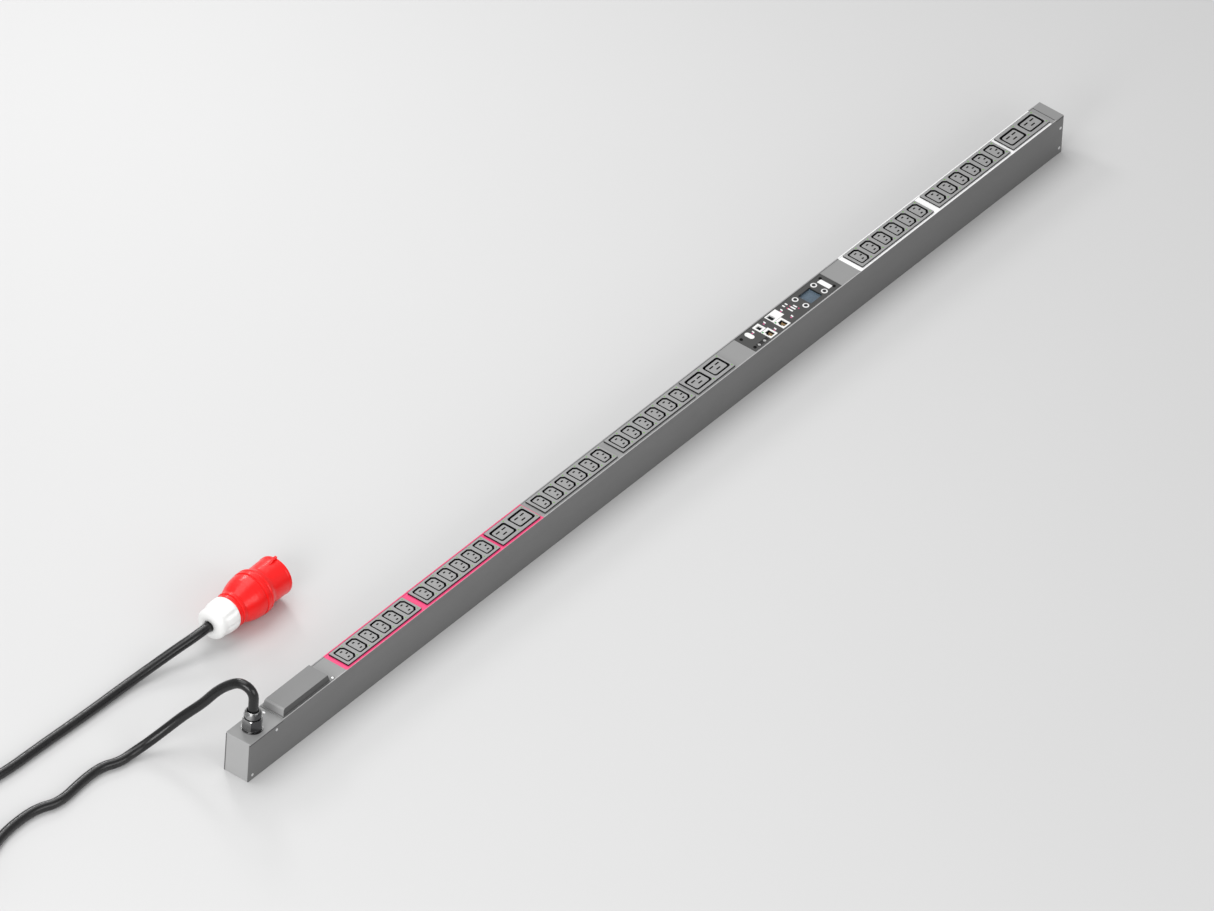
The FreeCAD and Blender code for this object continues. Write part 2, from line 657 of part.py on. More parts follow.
def status_leds():
    leds = []
    for x, y in LEDS:
        led = rod(at(x), y, 52.0, PLATE_Z[1] + 0.4, 1.2)
        rim = [e for e in led.Edges if e.CenterOfMass.z > PLATE_Z[1] and e.Length > 5]
        leds.append(led.makeFillet(0.7, rim))
    return leds


# ================================================================ supply entry

def gland_body():
    """Two base rings, the hexagon and the threaded shank through the cap."""
    x = at(GLAND_X)
    body = rod(x, 0, 58, CAP_TOP, GLAND_SHANK_R).fuse(rod(x, 0, CAP_TOP, CAP_TOP + 1.8, 16.0))
    body = body.fuse(rod(x, 0, CAP_TOP + 1.8, CAP_TOP + 2.6, 13.4))
    body = body.fuse(rod(x, 0, CAP_TOP + 2.6, CAP_TOP + 4.6, 14.6))
    facets = hexagon(x, 0, GLAND_AF, CAP_TOP + 4.6, 91.5)
    facets = facets.common(spin([(CAP_TOP + 4.6, 0), (CAP_TOP + 4.6, 14.6), (CAP_TOP + 6.2, 15.9),
                                 (89.9, 15.9), (91.5, 14.6), (91.5, 0)], V(x, 0, 0), UP))
    body = body.fuse(facets).fuse(rod(x, 0, 91.5, 93.6, 11.0))
    return body.cut(rod(x, 0, 50, 100, GLAND_BORE_R)).removeSplitter()


def gland_nut():
    """Domed compression nut with a rolled lip round the cable."""
    return spin([(93.0, 11.2), (93.0, 12.75), (96.5, 12.7), (99.6, 12.0), (101.6, 11.0), (102.7, 10.0),
                 (103.0, 9.3), (102.7, 8.7), (101.6, 8.3), (98.0, 8.3), (94.0, 9.2), (94.0, 11.2)],
                V(at(GLAND_X), 0, 0), UP)


def gland_seal():
    return spin([(84.0, 0), (84.0, 8.8), (93.6, 8.8), (SEAL_TOP, 8.1), (SEAL_TOP, 0)],
                V(at(GLAND_X), 0, 0), UP)


def gland_locknut():
    nut = hexagon(at(GLAND_X), 0, 29.0, 62.6, 67.7)
    return nut.cut(rod(at(GLAND_X), 0, 60, 70, GLAND_SHANK_R + 0.05))


def supply_cores():
    """Five insulated cores from the gland to the terminal block."""
    cores = []
    x0 = at(GLAND_X)
    for k, y in enumerate((-11.0, -5.5, 0.0, 5.5, 11.0)):
        start = V(x0 + (k % 2) * 3.2 - 1.6, y * 0.45, 83.5)
        turn = V(start.x, y * 0.45, 46.0)
        end = V(at(98), y, 40.0)
        cores.append(routed_tube([start, turn, V(x0 + 36, y, 40.0), end], 2.4))
    return cores


def terminal_block():
    """Five-way clamp block with a bore for each core and each bar."""
    block = box(at(98), at(190), -16, 16, 28.0, 52.0)
    for y in (-11.0, -5.5, 0.0, 5.5, 11.0):
        block = block.cut(rod(at(112), y, 44.0, 53.0, 1.9))
    return block


# ================================================================ supply cable and plug

def routed_tube(points, diameter, report=None):
    """Tube along straight runs joined by arcs that touch both runs."""
    count = len(points)
    edges = []
    previous = points[0]
    for k in range(1, count - 1):
        before, here, after = points[k - 1], points[k], points[k + 1]
        a, b = here - before, after - here
        reach = 0.45 * min(a.Length, b.Length)
        turn = a.getAngle(b)
        a.normalize()
        b.normalize()
        if turn < 1e-3:
            continue
        radius = reach / math.tan(turn / 2)
        if report is not None:
            report.append(radius)
        enter, leave = here - a * reach, here + b * reach
        bulge = b - a
        bulge.normalize()
        middle = here + bulge * (radius / math.cos(turn / 2) - radius)
        edges.append(Part.LineSegment(previous, enter).toShape())
        edges.append(Part.Arc(enter, middle, leave).toShape())
        previous = leave
    edges.append(Part.LineSegment(previous, points[-1]).toShape())
    spine = Part.Wire(edges)
    direction = points[1] - points[0]
    circle = Part.Wire([Part.Circle(points[0], direction, diameter / 2).toShape()])
    return spine.makePipeShell([circle], True, False)


def cable_run(name, route):
    radii = []
    points = [V(*p) for p in route]
    tube = routed_tube(points, CABLE_D, radii)
    section = math.pi * CABLE_D ** 2 / 4
    length = tube.Volume / section
    print("%s: length %.0f, radii %s" % (name, length, " ".join("%.0f" % r for r in radii)))
    return tube


def supply_cable_coil():
    """Closed outer shape of the neatly wound spare length."""
    x, y = COIL_CENTRE
    return rod(x, y, 0, COIL_HEIGHT, COIL_R[1]).cut(rod(x, y, -1, COIL_HEIGHT + 1, COIL_R[0]))


def plug_part(profile):
    return spin(profile, PLUG_REAR, PLUG_AXIS)


def plug_frame(solid):
    """Turn a solid drawn along +Z, with +X down, onto the plug's axis."""
    turn = FreeCAD.Rotation(V(0, 0, -1), V(0, 0, 0), PLUG_AXIS, "ZXY")
    solid.Placement = FreeCAD.Placement(PLUG_REAR, turn)
    return solid


def plug_cap_nut():
    """Threaded cap round the cable, with shallow finger grooves."""
    nut = plug_part([(0, NUT_HOLE_R), (0, 15.5), (1.0, 19.5), (3.0, 22.6), (6.0, 24.0), (11.0, 24.2),
                     (15.0, 24.2), (19.0, 25.2), (24.0, 26.4), (30.0, 26.7), (40.0, 26.6), (NUT_END, 25.6),
                     (NUT_END, 20.4), (SEAT, 20.4), (SEAT, NUT_HOLE_R)])
    for k in range(NUT_FLUTES):
        groove = rod(30.6, 0, 16.0, 39.0, 5.0)
        groove.rotate(V(0, 0, 0), UP, 360 * (k + 0.5) / NUT_FLUTES)
        nut = nut.cut(plug_frame(groove))
    return nut


def plug_body():
    """Hollow rear body: threaded neck, two rings and the bell."""
    return plug_part([(SEAT, 0), (SEAT, 20.0), (NUT_END, 20.0), (NUT_END, 24.6), (43.0, 25.6), (47.0, 25.6),
                      (48.0, 24.6), (49.5, 24.6), (50.5, 26.4), (55.0, 26.4), (56.5, 25.6), (58.5, 26.2),
                      (64.0, 28.6), (71.0, 31.2), (78.0, 33.2), (84.0, 34.2), (90.0, 34.8), (91.0, 33.8),
                      (COLLAR_START, 33.8), (COLLAR_START, 28.0), (82.0, 27.0), (66.0, 22.0), (57.0, 18.0),
                      (20.0, 17.0), (20.0, 0)])


def plug_collar():
    """Shroud round the pins, with the flange that meets the bell and the polarising key."""
    collar = plug_part([(COLLAR_START, 26.0), (COLLAR_START, 34.4), (95.0, 35.2), (100.0, 35.2),
                        (101.5, 34.4), (103.0, 34.4), (104.5, 35.0), (107.0, 34.4), (110.0, 32.4),
                        (114.0, 30.8), (118.0, 30.2), (147.0, 30.5), (148.0, 30.9), (151.8, 30.9),
                        (PLUG_END, 30.2), (PLUG_END, 28.0), (116.0, 27.6), (116.0, 26.0)])
    start, step, end = KEY_SPAN
    outline = [(29.4, start), (31.0, start), (KEY_R, step), (KEY_R, end), (29.4, end)]
    ring = [V(-r, -KEY_WIDTH / 2, u) for r, u in outline + outline[:1]]
    key = Part.Face(Part.makePolygon(ring)).extrude(V(0, KEY_WIDTH, 0))
    return collar.fuse(plug_frame(key)).removeSplitter()


def plug_insert():
    """Insulating disc that carries the pins."""
    start = COLLAR_START + 0.1
    disc = plug_part([(start, 0), (start, 25.9), (INSERT_END, 25.9), (INSERT_END, 0)])
    for x, y, r in pin_places():
        disc = disc.cut(plug_frame(rod(x, y, start - 1, INSERT_END + 1, r + 0.05)))
    return disc


def pin_places():
    """Five pins on a circle, the thicker earth pin at the bottom, level with the key's opposite."""
    places = []
    for k in range(5):
        angle = math.radians(72 * k)
        radius = EARTH_PIN_R if k == 0 else PIN_R
        places.append((PIN_CIRCLE_R * math.cos(angle), PIN_CIRCLE_R * math.sin(angle), radius))
    return places


def plug_pins():
    pins = []
    for x, y, r in pin_places():
        pin = rod(x, y, COLLAR_START, PIN_END, r)
        tip = [e for e in pin.Edges if e.CenterOfMass.z > PIN_END - 0.1 and e.Length > r * 4]
        pins.append(plug_frame(pin.makeFillet(r * 0.45, tip)))
    return pins


def main():
    os.makedirs("parts", exist_ok=True)
    save("housing_profile", housing_profile())
    save("near_end_cap", near_end_cap())
    save("far_end_cap", far_end_cap())
    save("end_cap_screws", end_cap_screws())
    save("rear_inserts", rear_inserts())
    save("deck_rails", deck_rails())
    save("spacer_plates", spacer_plates())
    save("terminal_cover", terminal_cover())
    save("panel_screws", cover_screws() + relay_screws())
    spans = block_spans()
    for bank in range(3):
        save("phase_label_%d" % (bank + 1), phase_label(bank))
        for block in range(2):
            frame = outlet_block(spans[3 * bank + block], c13_centres(bank, block), c13_recess, C13_LIGHT)
            save("c13_block_%d" % (2 * bank + block + 1), frame)
        frame = outlet_block(spans[3 * bank + 2], c19_centres(bank), c19_recess, C19_LIGHT)
        save("c19_block_%d" % (bank + 1), frame)
        save("socket_inserts_%d" % (bank + 1), socket_inserts(bank))
    save("socket_bases", socket_bases())
    for pole, node in enumerate(("line_contacts", "neutral_contacts", "earth_contacts")):
        save(node, contacts(pole))
    save("outlet_lights", outlet_lights())
    save("outlet_boards", outlet_boards())
    save("busbars", busbars())
    save("busbar_holders", busbar_holders())
    save("controller_plate", controller_plate())
    save("controller_tray", controller_tray())
    save("controller_board", controller_board())
    save("controller_screws", controller_screws())
    save("display_window", display_window())
    save("display_module", display_module())
    for k, (x, y) in enumerate(BUTTONS):
        save("menu_button_%d" % (k + 1), menu_button(x, y))
    save("button_rings", button_rings())
    save("network_jacks", network_jacks())
    save("service_ports", service_ports())
    save("relay_terminal", relay_terminal())
    save("status_leds", status_leds())
    save("gland_body", gland_body())
    save("gland_nuts", [gland_nut(), gland_locknut()])
    save("gland_seal", gland_seal())
    save("supply_cores", supply_cores())
    save("terminal_block", terminal_block())
    save("supply_cable", cable_run("supply_cable", ROUTE_OUT))
    save("supply_cable_coil", supply_cable_coil())
    save("supply_cable_tail", cable_run("supply_cable_tail", ROUTE_BACK))
    save("plug_cap_nut", plug_cap_nut())
    save("plug_body", plug_body())
    save("plug_collar", plug_collar())
    save("plug_insert", plug_insert())
    save("plug_pins", plug_pins())


main()
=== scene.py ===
"""Looks of the zero-U rack power strip: camera, supply cable, materials, small details and light.

Lengths are metres in the part's own frame: +X to the far end, +Y to the cable's side, +Z up.
MM turns the millimetre sizes of the part's drawing into metres.
"""
import math
import bpy
import bmesh
from mathutils import Matrix, Vector


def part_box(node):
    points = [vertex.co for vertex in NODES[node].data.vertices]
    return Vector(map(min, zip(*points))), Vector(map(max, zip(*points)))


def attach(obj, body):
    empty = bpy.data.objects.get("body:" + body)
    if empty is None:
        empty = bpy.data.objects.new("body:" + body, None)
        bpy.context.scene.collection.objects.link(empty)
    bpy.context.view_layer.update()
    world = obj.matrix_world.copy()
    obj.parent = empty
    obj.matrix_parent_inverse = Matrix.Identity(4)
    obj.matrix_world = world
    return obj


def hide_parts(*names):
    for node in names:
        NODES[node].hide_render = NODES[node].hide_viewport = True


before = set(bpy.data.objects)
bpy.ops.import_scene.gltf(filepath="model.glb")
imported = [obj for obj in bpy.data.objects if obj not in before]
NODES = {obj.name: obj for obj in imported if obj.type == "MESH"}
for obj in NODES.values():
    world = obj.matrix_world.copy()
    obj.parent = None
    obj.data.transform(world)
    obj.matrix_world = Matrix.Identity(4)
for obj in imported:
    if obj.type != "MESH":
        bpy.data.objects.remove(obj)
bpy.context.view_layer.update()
MM = 0.001
BODY = "strip"

# ---------------------------------------------------------------- camera
VIEW_CENTRE = Vector((-0.1012, -0.0032, 0.0688))
VIEW_WIDTH = 1.734              # metres across the picture at the object
VIEW_DISTANCE = 57.8            # far off, so that parallel edges stay parallel
SENSOR = 36.0
RIGHT = Vector((0.6195, -0.7834, 0.0497))       # the picture's right, in the part's frame
BACK = Vector((-0.6212, -0.4505, 0.6412))       # from the object towards the camera


def make_camera():
    back = BACK.normalized()
    right = (RIGHT - back * RIGHT.dot(back)).normalized()
    up = back.cross(right)
    data = bpy.data.cameras.new("camera")
    data.sensor_width = SENSOR
    data.lens = SENSOR * VIEW_DISTANCE / VIEW_WIDTH
    data.clip_end = 2 * VIEW_DISTANCE
    camera = bpy.data.objects.new("camera", data)
    bpy.context.scene.collection.objects.link(camera)
    camera.matrix_world = Matrix((
        (right.x, up.x, back.x, VIEW_CENTRE.x + back.x * VIEW_DISTANCE),
        (right.y, up.y, back.y, VIEW_CENTRE.y + back.y * VIEW_DISTANCE),
        (right.z, up.z, back.z, VIEW_CENTRE.z + back.z * VIEW_DISTANCE),
        (0, 0, 0, 1)))
    bpy.context.scene.camera = camera


make_camera()


# ---------------------------------------------------------------- material helpers
MIX_A, MIX_B, MIX_RESULT = 6, 7, 2      # the colour sockets of a Mix node
NOISE_LOW, NOISE_HIGH = 0.3, 0.7        # nearly all values of the noise lie between these
X, Y, Z = 0, 1, 2


def grey(value):
    return (value, value, value)


class Nodes:
    """Short hand for building one material's node tree."""

    def __init__(self, name):
        self.material = bpy.data.materials.new(name)
        self.material.use_nodes = True
        self.tree = self.material.node_tree
        self.shader = self.tree.nodes["Principled BSDF"]

    def add(self, kind, **values):
        node = self.tree.nodes.new(kind)
        for key, value in values.items():
            if key in node.inputs:
                node.inputs[key].default_value = value
            else:
                setattr(node, key, value)
        return node

    def link(self, source, target):
        self.tree.links.new(source, target)

    def set(self, **values):
        """Plain values on the shader's own sockets."""
        for key, value in values.items():
            self.shader.inputs[key.replace("_", " ")].default_value = value

    def tone(self, source):
        self.link(source, self.shader.inputs["Base Color"])

    def split(self, source):
        """The three components of a vector, as sockets."""
        node = self.add("ShaderNodeSeparateXYZ")
        self.link(source, node.inputs[0])
        return node.outputs

    def place(self):
        """Coordinates in the part's frame, in metres."""
        return self.add("ShaderNodeNewGeometry").outputs["Position"]

    def noise(self, scale, detail=3.0, stretch=None):
        """Noise over the part's frame; scale is features per metre."""
        source = self.place()
        if stretch is not None:
            mapping = self.add("ShaderNodeMapping")
            mapping.inputs["Scale"].default_value = stretch
            self.link(source, mapping.inputs["Vector"])
            source = mapping.outputs["Vector"]
        node = self.add("ShaderNodeTexNoise", Scale=scale, Detail=detail)
        self.link(source, node.inputs["Vector"])
        return node.outputs["Fac"]

    def range(self, source, low, high, start=NOISE_LOW, end=NOISE_HIGH):
        """Low to high as the source goes from start to end, and no further."""
        node = self.add("ShaderNodeMapRange")
        limits = (("From Min", start), ("From Max", end), ("To Min", low), ("To Max", high))
        for key, value in limits:
            node.inputs[key].default_value = value
        self.link(source, node.inputs["Value"])
        return node.outputs["Result"]

    def blend(self, factor, colour_a, colour_b):
        """Mix two colours; each is a tuple or a socket."""
        node = self.add("ShaderNodeMix", data_type="RGBA")
        self.link(factor, node.inputs[0])
        for slot, colour in ((MIX_A, colour_a), (MIX_B, colour_b)):
            if isinstance(colour, tuple):
                node.inputs[slot].default_value = (*colour, 1.0)
            else:
                self.link(colour, node.inputs[slot])
        return node.outputs[MIX_RESULT]

    def shades(self, colour, scale, spread, detail=3.0):
        """The colour, a little lighter and darker from place to place; scale is features per metre."""
        low = tuple(c * (1 - spread) for c in colour)
        high = tuple(min(1.0, c * (1 + spread)) for c in colour)
        return self.blend(self.noise(scale, detail), low, high)

    def bump(self, height, strength, distance):
        node = self.add("ShaderNodeBump", Strength=strength, Distance=distance)
        self.link(height, node.inputs["Height"])
        self.link(node.outputs["Normal"], self.shader.inputs["Normal"])

    def math(self, operation, a, b):
        """Combine two sockets, or a socket and a float."""
        node = self.add("ShaderNodeMath", operation=operation)
        for slot, value in enumerate((a, b)):
            if isinstance(value, float):
                node.inputs[slot].default_value = value
            else:
                self.link(value, node.inputs[slot])
        return node.outputs[0]

    def facing(self, axis, start, end):
        """0 to 1 as the normal's part along an axis of the frame goes from start to end."""
        normal = self.split(self.add("ShaderNodeNewGeometry").outputs["True Normal"])
        return self.range(normal[axis], 0.0, 1.0, start, end)


# The three makers below give a material its finish. Where no colour is passed, the caller adds it.

def plastic_shades(n, colour, spread=0.05):
    return n.shades(colour, scale=60.0, spread=spread)


def moulded(name, colour=None, roughness=0.5, grain=2200.0, bump=0.25, spread=0.05, coat=0.0,
            specular=0.5):
    """Moulded plastic: fine grain, slight shade and gloss variation."""
    n = Nodes(name)
    if colour:
        n.tone(plastic_shades(n, colour, spread))
    n.link(n.range(n.noise(140.0), roughness - 0.05, roughness + 0.07), n.shader.inputs["Roughness"])
    n.set(Coat_Weight=coat, Coat_Roughness=0.12, Specular_IOR_Level=specular)
    n.bump(n.noise(grain, detail=2.0), bump, distance=0.00004)
    return n


def paint_shades(n, colour):
    return n.shades(colour, scale=9.0, spread=0.035, detail=4.0)


def painted(name):
    """Powder-coated sheet: orange peel, faint handling marks and a soft sheen."""
    n = Nodes(name)
    rub = n.noise(scale=26.0, detail=5.0, stretch=(0.25, 1.0, 1.0))
    n.link(n.range(rub, low=0.35, high=0.50), n.shader.inputs["Roughness"])
    n.bump(n.noise(scale=1500.0, detail=2.0), strength=0.35, distance=0.00005)
    return n


def metal_shades(n, colour):
    return n.shades(colour, scale=300.0, spread=0.08)


def metal(name, colour=None, roughness=0.25, streak=None):
    """Bare or plated metal with fine turning or drawing marks."""
    n = Nodes(name)
    if colour:
        n.tone(metal_shades(n, colour))
    marks = n.noise(scale=900.0, stretch=streak)
    n.link(n.range(marks, roughness - 0.08, roughness + 0.12), n.shader.inputs["Roughness"])
    n.set(Metallic=1.0)
    n.bump(marks, strength=0.15, distance=0.00003)
    return n


# ---------------------------------------------------------------- supply cable
CABLE_D = 15.0
# centre line, first out of the gland and along the floor to the coil
ROUTE_OUT = [(-908.5, 0, 98), (-908.5, 0, 113), (-908.5, 0, 129.5), (-909.3, 9, 139.5), (-911.5, 25, 141.5),
             (-915, 42, 129), (-920.5, 57.5, 112.5), (-929, 74, 86), (-943, 96, 60), (-962, 113, 36),
             (-984, 127, 17), (-1006, 135, 8.6), (-1033, 137, 7.6), (-1059, 150, 7.6), (-1101, 151, 7.6),
             (-1159, 145, 7.6), (-1192, 162, 7.6), (-1246, 164, 7.6), (-1290, 157, 7.6),
             (-1326, 144.5, 7.6)]
# then from the coil, along the floor and up into the plug
ROUTE_BACK = [(-1334, 288, 22.5), (-1292, 276, 15.5), (-1240, 261, 7.8), (-1172, 245.5, 7.6),
              (-1075, 242.5, 7.6), (-985, 238, 7.6), (-905, 236, 8), (-850, 230, 13.5),
              (-805, 219, 26), (-767.7, 209.3, 35.3), (-733.1, 209.3, 35.3)]
COIL_CENTRE = (-1387.0, 213.0)
COIL_OUTER_R = 89.5             # centre line of the outermost turn
COIL_START, COIL_END = -72.0, 78.0      # where the cable joins and leaves the coil, degrees
COIL_TURNS = 3 + (COIL_START - COIL_END + 360) / 360
COIL_PITCH = 15.4               # how far the turns lie apart
LAYER_CHANGE = 0.7              # turns in which the cable climbs from the lower to the upper layer
POINTS_PER_TURN = 14
FLOOR_Z, UPPER_Z = 7.6, 22.8    # cable centre in the lower and the upper layer


def coil_points():
    """Lower layer winding inwards, then an upper layer winding out again."""
    count = round(COIL_TURNS * POINTS_PER_TURN)
    middle = COIL_TURNS / 2
    points = []
    for k in range(1, count):
        turned = COIL_TURNS * k / count
        angle = math.radians(COIL_START) - 2 * math.pi * turned
        radius = COIL_OUTER_R - COIL_PITCH * (middle - abs(turned - middle))
        climb = min(1.0, max(0.0, (turned - middle) / LAYER_CHANGE + 0.5))
        z = FLOOR_Z + (UPPER_Z - FLOOR_Z) * climb * climb * (3 - 2 * climb)
        points.append((COIL_CENTRE[0] + radius * math.cos(angle),
                       COIL_CENTRE[1] + radius * math.sin(angle), z))
    return points


def make_cable(points):
    curve = bpy.data.curves.new("supply_cable_line", "CURVE")
    curve.dimensions = "3D"
    spline = curve.splines.new("NURBS")
    spline.points.add(len(points) - 1)
    for target, point in zip(spline.points, points):
        target.co = (point[0] * MM, point[1] * MM, point[2] * MM, 1.0)
    spline.order_u = 3
    spline.use_endpoint_u = True
    spline.resolution_u = 10
    curve.bevel_depth = CABLE_D * MM / 2
    curve.bevel_resolution = 7
    curve.use_fill_caps = True
    cable = bpy.data.objects.new("supply_cable_sheath", curve)
    bpy.context.scene.collection.objects.link(cable)
    return cable


cable = make_cable(ROUTE_OUT + coil_points() + ROUTE_BACK)
sheath = moulded("cable_sheath", (0.004, 0.004, 0.0045), 0.27, grain=1400.0, bump=0.12,
                 spread=0.25)
cable.data.materials.append(sheath.material)
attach(cable, BODY)
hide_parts("supply_cable", "supply_cable_coil", "supply_cable_tail")


# ---------------------------------------------------------------- mesh helpers

def at(distance):
    """X in millimetres of a place given by its distance from the near end."""
    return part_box("housing_profile")[0].x / MM + distance


def mesh_object(name, bm, material, smooth=False):
    data = bpy.data.meshes.new(name)
    bmesh.ops.recalc_face_normals(bm, faces=bm.faces)
    bm.to_mesh(data)
    bm.free()
    for polygon in data.polygons:
        polygon.use_smooth = smooth
    data.materials.append(material)
    piece = bpy.data.objects.new(name, data)
    bpy.context.scene.collection.objects.link(piece)
    return piece


def add_plate(bm, outline, z0, z1):
    """Add a closed plate to a mesh: outline of (x, y) points and two heights, in millimetres."""
    bottom = [bm.verts.new((x * MM, y * MM, z0 * MM)) for x, y in outline]
    top = [bm.verts.new((x * MM, y * MM, z1 * MM)) for x, y in outline]
    bm.faces.new(list(reversed(bottom)))
    bm.faces.new(top)
    count = len(outline)
    for k in range(count):
        other = (k + 1) % count
        bm.faces.new((bottom[k], bottom[other], top[other], top[k]))


def rounded_outline(cx, cy, lx, ly, r, steps=5):
    """Points round a rectangle with round corners, counter-clockwise."""
    points = []
    for quarter, (sx, sy) in enumerate(((1, 1), (-1, 1), (-1, -1), (1, -1))):
        for k in range(steps + 1):
            angle = math.pi / 2 * (quarter + k / steps)
            points.append((cx + sx * (lx / 2 - r) + r * math.cos(angle),
                           cy + sy * (ly / 2 - r) + r * math.sin(angle)))
    return points


def finish_piece(piece, slot):
    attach(piece, BODY)


# ---------------------------------------------------------------- shared sizes and colours
DECK_GREY = grey(0.285)
WALL_GREY = grey(0.135)
CAP_GREY = grey(0.27)
COVER_GREY = grey(0.200)
WHITE_FILM = grey(0.97)
NEAR_BLACK = (0.008, 0.008, 0.009)
JACK_WHITE = (0.88, 0.88, 0.87)
FILM = {"grain": 700.0, "bump": 0.12, "spread": 0.03}
HALF_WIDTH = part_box("housing_profile")[1].y / MM
LIP_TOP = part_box("housing_profile")[1].z / MM
DECK_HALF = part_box("deck_rails")[1].y / MM
PLATE_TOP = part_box("controller_plate")[1].z / MM
NEAR_CAP_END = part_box("near_end_cap")[1].x
FAR_CAP_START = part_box("far_end_cap")[0].x

# Some faces are painted lighter or darker than the part they belong to. The real part may well have one
# even colour there: the painted difference stands for light and shade that the lights here don't give.
CAP_NEAR_FACE_LIT = grey(0.41)
COVER_NEAR_FACE_LIT = grey(0.40)
COVER_FLANK_SHADE = grey(0.050)
GLAND_NICKEL, GLAND_SHADED_SIDE = grey(0.36), (0.075, 0.075, 0.078)
LIP_HIGHLIGHT = grey(0.60)
LINE_FULL, LINE_END = 0.3, 0.6  # a painted highlight line's full part and its outer limit, from the lip's edge
LIP_DEPTH, LIP_BLEND = 0.6, 0.2     # how far down the lip's own colour reaches, and its soft part
CAP_SHADE_DEPTH = 3.7           # height of the painted shade band on the walls under the caps
SEAM_SHADE = 1.2                # width of the painted seam shadow on the deck at the far cap


# ---------------------------------------------------------------- materials of the CAD nodes

def shaded_wall_moulding(name, face, wall, roughness=0.5):
    """Moulding whose upward faces are one colour and whose upright walls another, darker one: painted
    shade.
    """
    n = moulded(name, None, roughness)
    upward = n.facing(Z, start=0.45, end=0.65)
    n.tone(n.blend(upward, wall, plastic_shades(n, face)))
    return n


def cap_paint():
    """End caps, with painted light: paler where they face the near end."""
    n = painted("cap_paint")
    lit_near_face = n.facing(X, start=-0.6, end=-0.9)
    n.tone(n.blend(lit_near_face, paint_shades(n, CAP_GREY), CAP_NEAR_FACE_LIT))
    return n


def cover_paint():
    """Terminal cover, with painted light and shade: paler near face and darker right flank."""
    n = painted("cover_paint")
    lit_near_face = n.facing(X, start=-0.5, end=-0.8)
    shaded_flank = n.facing(Y, start=-0.75, end=-0.9)
    tone = n.blend(lit_near_face, paint_shades(n, COVER_GREY), COVER_NEAR_FACE_LIT)
    n.tone(n.blend(shaded_flank, tone, COVER_FLANK_SHADE))
    return n


def housing_paint():
    """Profile with lips in the deck's colour. Painted highlight: a bright line along both edges of
    the right lip. Painted shade: a dark band at the top of the walls under the end caps."""
    n = painted("housing_paint")
    x, y, z = n.split(n.place())
    # painted highlight: bright lines along both edges of the right lip
    outer = n.range(y, 1.0, 0.0, -(HALF_WIDTH - LINE_FULL) * MM, -(HALF_WIDTH - LINE_END) * MM)
    inner = n.range(y, 0.0, 1.0, -(DECK_HALF + LINE_END) * MM, -(DECK_HALF + LINE_FULL) * MM)
    line = n.math("MULTIPLY", n.math("MAXIMUM", outer, inner), n.math("LESS_THAN", y, 0.0))
    high = n.range(z, 0.0, 1.0, (LIP_TOP - LIP_DEPTH) * MM, (LIP_TOP - LIP_DEPTH + LIP_BLEND) * MM)
    lip = n.blend(high, paint_shades(n, WALL_GREY), DECK_GREY)
    tone = n.blend(n.math("MULTIPLY", line, high), lip, LIP_HIGHLIGHT)
    # painted shade: the tops of the walls under the end caps are near black
    capped = n.math("MAXIMUM", n.math("LESS_THAN", x, NEAR_CAP_END),
                    n.math("GREATER_THAN", x, FAR_CAP_START))
    shaded_top_band = n.math("GREATER_THAN", z, (LIP_TOP - CAP_SHADE_DEPTH) * MM)
    n.tone(n.blend(n.math("MULTIPLY", capped, shaded_top_band), tone, NEAR_BLACK))
    return n


def deck_paint():
    """Deck plates, with painted shade: a dark line at the far cap, standing for the seam's shadow."""
    n = painted("deck_paint")
    seam_shadow = n.math("GREATER_THAN", n.split(n.place())[X], FAR_CAP_START - SEAM_SHADE * MM)
    n.tone(n.blend(seam_shadow, paint_shades(n, DECK_GREY), NEAR_BLACK))
    return n


def white_film():
    """White printed film; the strip beyond the last outlet block is grey."""
    n = moulded("film_white", None, 0.45, **FILM)
    beyond = n.math("GREATER_THAN", n.split(n.place())[X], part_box("c19_block_3")[1].x)
    n.tone(n.blend(beyond, plastic_shades(n, WHITE_FILM, 0.015), DECK_GREY))
    return n


def port_plastic(name, well, well_depth):
    """White moulding whose openings are painted dark below a thin rim: painted shade in the recesses."""
    n = moulded(name, None, 0.35, coat=0.1)
    rim_end = PLATE_TOP - well_depth
    # painted shade in the openings below the rim
    deep = n.range(n.split(n.place())[Z], 1.0, 0.0, (rim_end - 0.15) * MM, rim_end * MM)
    n.tone(n.blend(deep, plastic_shades(n, JACK_WHITE, 0.02), well))
    return n


def gland_metal():
    """Nickelled brass, with painted shade: darker on the right side."""
    n = metal("gland_nickel", None, 0.2, streak=(1.0, 1.0, 6.0))
    # painted shade on faces turned to the right side
    right_side = n.facing(Y, start=-0.35, end=-0.8)
    n.tone(n.blend(right_side, metal_shades(n, GLAND_NICKEL), GLAND_SHADED_SIDE))
    return n


def lens(name, colour):
    """Clear tinted plastic with a very weak glow of its own."""
    n = moulded(name, colour, 0.2, grain=900.0, bump=0.05, spread=0.08)
    n.set(Transmission_Weight=0.25, IOR=1.49, Emission_Strength=0.08)
    n.shader.inputs["Emission Color"].default_value = (*colour, 1.0)
    return n


def display_glass():
    """Window over the display: clear, with faint smears in its gloss."""
    n = Nodes("display_glass")
    n.set(Transmission_Weight=1.0, IOR=1.25, Alpha=0.15)
    n.shader.inputs["Base Color"].default_value = (0.85, 0.90, 0.97, 1.0)
    n.link(n.range(n.noise(30.0), 0.03, 0.07), n.shader.inputs["Roughness"])
    return n


